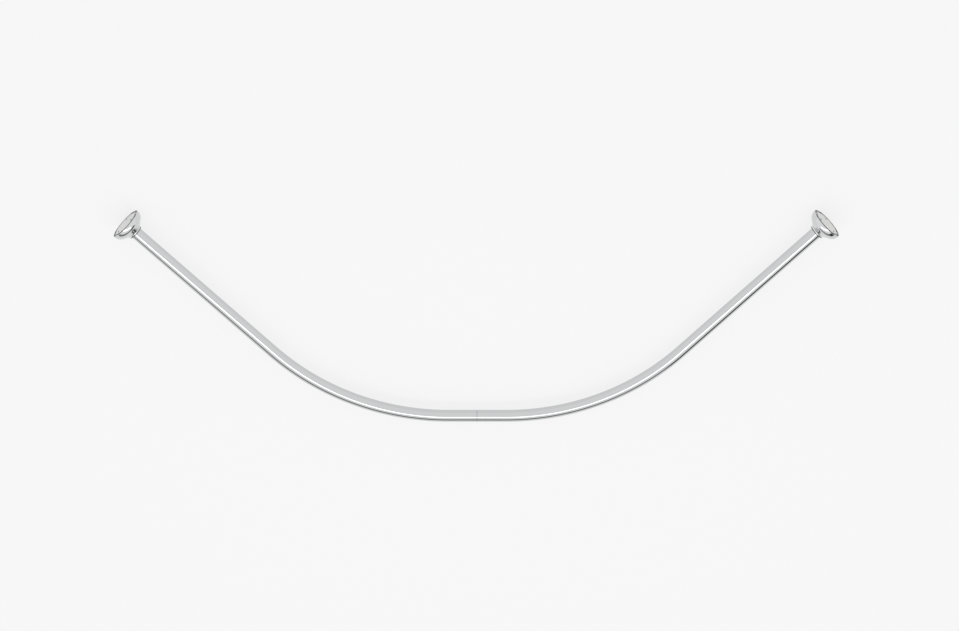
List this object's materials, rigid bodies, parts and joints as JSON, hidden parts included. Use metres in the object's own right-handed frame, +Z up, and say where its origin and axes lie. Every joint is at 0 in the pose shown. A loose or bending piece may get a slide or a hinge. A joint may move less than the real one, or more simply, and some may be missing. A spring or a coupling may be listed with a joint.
{
  "type": "corner shower curtain rod",
  "caption": "Curved corner rod for a shower curtain: two bent chrome tubes joined in the middle, with domed covers over wall brackets.",
  "frame": {"origin": "centre of the whole rod's bounding box", "axes": "+X along the span from the left wall's end to the right wall's end, +Y from the middle of the bow towards the corner of the two walls, +Z up; the walls face the room along (+-0.7071, -0.7071, 0)"},
  "size_m": [1.4878, 0.4822, 0.072],
  "materials": {
    "tube": "polished",
    "cover": "polished",
    "bracket": "bright plated steel",
    "sleeve": "drawn, bare",
    "screw": "dark steel",
    "seal": "matt black rubber"
  },
  "bodies": {
    "rod": {"left_tube": "tube", "right_tube": "tube", "joint_sleeve": "sleeve", "left_joint_screw": "screw", "right_joint_screw": "screw", "left_bracket": "bracket", "right_bracket": "bracket", "left_bracket_screw": "screw", "right_bracket_screw": "screw"},
    "left_cover_unit": {"left_cover": "cover", "left_cover_seal": "seal"},
    "right_cover_unit": {"right_cover": "cover", "right_cover_seal": "seal"}
  },
  "joints": [
    {"name": "left_cover_slide", "type": "slide", "parent": "rod", "child": "left_cover_unit", "axis": [0.7071, -0.7071, 0], "range_m": [0, 0.38]},
    {"name": "right_cover_slide", "type": "slide", "parent": "rod", "child": "right_cover_unit", "axis": [-0.7071, -0.7071, 0], "range_m": [0, 0.38]}
  ]
}
